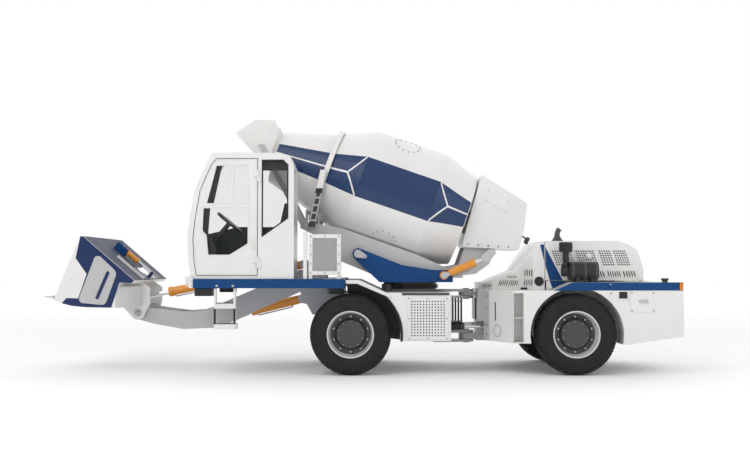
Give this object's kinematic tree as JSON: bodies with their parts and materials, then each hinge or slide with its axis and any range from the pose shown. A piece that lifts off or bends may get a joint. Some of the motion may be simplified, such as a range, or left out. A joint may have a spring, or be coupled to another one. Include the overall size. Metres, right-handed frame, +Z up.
{
  "type": "self-loading concrete mixer",
  "caption": "Articulated self-loading concrete mixer: a front loader with a gated bucket, a side cab, a slewing and tilting drum with feed hopper, and a rear engine under a hinged hood.",
  "frame": {"origin": "centre of the overall box at ground level", "axes": "+X to the rear, -X to the bucket, -Y to the cab side, +Z up"},
  "size_m": [7.716, 2.3, 3.171],
  "materials": {
    "white": "gloss",
    "blue": "gloss",
    "grey": "satin",
    "black": "matt",
    "dark_metal": "satin",
    "orange": "gloss",
    "chrome": "polished",
    "glass": "clear",
    "amber": "gloss",
    "tyre": "matt",
    "rim": "satin"
  },
  "bodies": {
    "front_frame": {"front_chassis": "grey", "front_axle": "dark_metal", "deck": "blue", "cab_shell": "white", "cab_glass": "glass", "cab_interior": "black", "cab_steps": "white", "oil_cooler": "white", "side_tanks": "white", "slew_bearing": "dark_metal"},
    "rear_frame": {"rear_chassis": "grey", "rear_axle": "dark_metal", "rear_wings": "white", "counterweight": "white", "tow_hitch": "black", "rear_lamps": "amber", "engine_block": "dark_metal", "nose_cover": "white", "air_cleaner": "black"},
    "slew_frame": {"slew_frame": "blue"},
    "cradle": {"drum_cradle": "grey", "drum_strap": "black", "drum_cover": "white", "feed_hopper": "white"},
    "drum": {"mixing_drum": "white"},
    "boom": {"loader_boom": "grey"},
    "bucket_pin": {"bucket_pin": "dark_metal"},
    "bucket": {"bucket_shell": "white", "bucket_arms": "grey", "gate_barrel": "orange"},
    "gate": {"bucket_gate": "blue"},
    "door": {"cab_door": "white", "door_glass": "glass"},
    "hood": {"engine_hood": "white", "exhaust_stack": "black"},
    "wheel_front_left": {"tyre_front_left": "tyre", "rim_front_left": "rim"},
    "wheel_front_right": {"tyre_front_right": "tyre", "rim_front_right": "rim"},
    "wheel_rear_left": {"tyre_rear_left": "tyre", "rim_rear_left": "rim"},
    "wheel_rear_right": {"tyre_rear_right": "tyre", "rim_rear_right": "rim"},
    "lift_barrel": {"lift_barrel": "orange"},
    "lift_rod": {"lift_rod": "chrome"},
    "tilt_barrel": {"tilt_barrel": "orange"},
    "tilt_rod": {"tilt_rod": "chrome"},
    "drum_lift_barrel": {"drum_lift_barrel": "orange"},
    "drum_lift_rod": {"drum_lift_rod": "chrome"},
    "steer_barrel_left": {"steer_barrel_left": "black"},
    "steer_rod_left": {"steer_rod_left": "chrome"},
    "steer_barrel_right": {"steer_barrel_right": "black"},
    "steer_rod_right": {"steer_rod_right": "chrome"}
  },
  "joints": [
    {"name": "steering", "type": "hinge", "parent": "front_frame", "child": "rear_frame", "pos_m": [1.333, 0, 0.6], "axis": [0, 0, 1], "range_deg": [-35, 35]},
    {"name": "wheel_front_left_spin", "type": "hinge", "parent": "front_frame", "child": "wheel_front_left", "pos_m": [-0.145, -0.93, 0.49], "axis": [0, 1, 0], "continuous": true},
    {"name": "wheel_front_right_spin", "type": "hinge", "parent": "front_frame", "child": "wheel_front_right", "pos_m": [-0.145, 0.93, 0.49], "axis": [0, 1, 0], "continuous": true},
    {"name": "wheel_rear_left_spin", "type": "hinge", "parent": "rear_frame", "child": "wheel_rear_left", "pos_m": [2.57, -0.93, 0.49], "axis": [0, 1, 0], "continuous": true},
    {"name": "wheel_rear_right_spin", "type": "hinge", "parent": "rear_frame", "child": "wheel_rear_right", "pos_m": [2.57, 0.93, 0.49], "axis": [0, 1, 0], "continuous": true},
    {"name": "slew", "type": "hinge", "parent": "front_frame", "child": "slew_frame", "pos_m": [0.607, 0, 1.1], "axis": [0, 0, -1], "range_deg": [0, 90]},
    {"name": "drum_tilt", "type": "hinge", "parent": "slew_frame", "child": "cradle", "pos_m": [-0.061, 0, 1.465], "axis": [0, -1, 0], "range_deg": [0, 15]},
    {"name": "drum_spin", "type": "hinge", "parent": "cradle", "child": "drum", "pos_m": [-0.045, 0, 2.362], "axis": [0.945, 0, -0.327], "continuous": true},
    {"name": "boom_lift", "type": "hinge", "parent": "front_frame", "child": "boom", "pos_m": [-0.75, 0, 1.15], "axis": [0, 1, 0], "range_deg": [-17, 70]},
    {"name": "bucket_level", "type": "hinge", "parent": "boom", "child": "bucket_pin", "pos_m": [-2.845, 0, 0.72], "axis": [0, 1, 0], "range_deg": [-71, 18]},
    {"name": "bucket_tilt", "type": "hinge", "parent": "bucket_pin", "child": "bucket", "pos_m": [-2.845, 0, 0.72], "axis": [0, -1, 0], "range_deg": [-20, 40]},
    {"name": "gate_slide", "type": "slide", "parent": "bucket", "child": "gate", "axis": [-0.7594, 0, 0.6506], "range_m": [0, 0.2]},
    {"name": "door_swing", "type": "hinge", "parent": "front_frame", "child": "door", "pos_m": [-1.254, -1.135, 1.9], "axis": [0, 0, 1], "range_deg": [0, 90]},
    {"name": "hood_lift", "type": "hinge", "parent": "rear_frame", "child": "hood", "pos_m": [3.478, 0, 1.15], "axis": [0, 1, 0], "range_deg": [0, 60]},
    {"name": "lift_barrel_pivot", "type": "hinge", "parent": "front_frame", "child": "lift_barrel", "pos_m": [-0.788, 0, 0.892], "axis": [0, 1, 0], "range_deg": [-16.99, 69.32]},
    {"name": "lift_rod_slide", "type": "slide", "parent": "lift_barrel", "child": "lift_rod", "axis": [-0.9718, 0, -0.2357], "range_m": [-0.0758, 0.3057]},
    {"name": "tilt_barrel_pivot", "type": "hinge", "parent": "front_frame", "child": "tilt_barrel", "pos_m": [-0.77, 0, 1.338], "axis": [0, 1, 0], "range_deg": [-17.2, 70.2]},
    {"name": "tilt_rod_slide", "type": "slide", "parent": "tilt_barrel", "child": "tilt_rod", "axis": [-0.9796, 0, -0.2011], "range_m": [-0.0661, 0.1302]},
    {"name": "drum_lift_barrel_pivot", "type": "hinge", "parent": "slew_frame", "child": "drum_lift_barrel", "pos_m": [1.004, 0, 1.197], "axis": [0, -1, 0], "range_deg": [-0.2, 32.14]},
    {"name": "drum_lift_rod_slide", "type": "slide", "parent": "drum_lift_barrel", "child": "drum_lift_rod", "axis": [0.9227, 0, 0.3855], "range_m": [-0.002, 0.2188]},
    {"name": "steer_barrel_left_pivot", "type": "hinge", "parent": "front_frame", "child": "steer_barrel_left", "pos_m": [0.75, -0.33, 0.548], "axis": [0, 0, 1], "range_deg": [-10.27, 10.27]},
    {"name": "steer_rod_left_slide", "type": "slide", "parent": "steer_barrel_left", "child": "steer_rod_left", "axis": [0.9989, 0.047, 0], "range_m": [-0.1839, 0.1839]},
    {"name": "steer_barrel_right_pivot", "type": "hinge", "parent": "front_frame", "child": "steer_barrel_right", "pos_m": [0.75, 0.33, 0.548], "axis": [0, 0, 1], "range_deg": [-10.27, 10.27]},
    {"name": "steer_rod_right_slide", "type": "slide", "parent": "steer_barrel_right", "child": "steer_rod_right", "axis": [0.9989, -0.047, 0], "range_m": [-0.1839, 0.1839]}
  ],
  "couplings": [
    {"joint": "bucket_level", "follows": "boom_lift", "ratio": -1},
    {"joint": "lift_barrel_pivot", "follows": "boom_lift", "ratio": 0.9874},
    {"joint": "lift_rod_slide", "follows": "boom_lift", "m_per_rad": 0.2486},
    {"joint": "tilt_barrel_pivot", "follows": "boom_lift", "ratio": 1},
    {"joint": "tilt_rod_slide", "follows": "bucket_tilt", "m_per_rad": 0.1836},
    {"joint": "drum_lift_barrel_pivot", "follows": "drum_tilt", "ratio": 2.1292},
    {"joint": "drum_lift_rod_slide", "follows": "drum_tilt", "m_per_rad": 0.8282},
    {"joint": "steer_barrel_left_pivot", "follows": "steering", "ratio": 0.2877},
    {"joint": "steer_barrel_right_pivot", "follows": "steering", "ratio": 0.2877},
    {"joint": "steer_rod_left_slide", "follows": "steering", "m_per_rad": 0.2978},
    {"joint": "steer_rod_right_slide", "follows": "steering", "m_per_rad": -0.2978}
  ]
}
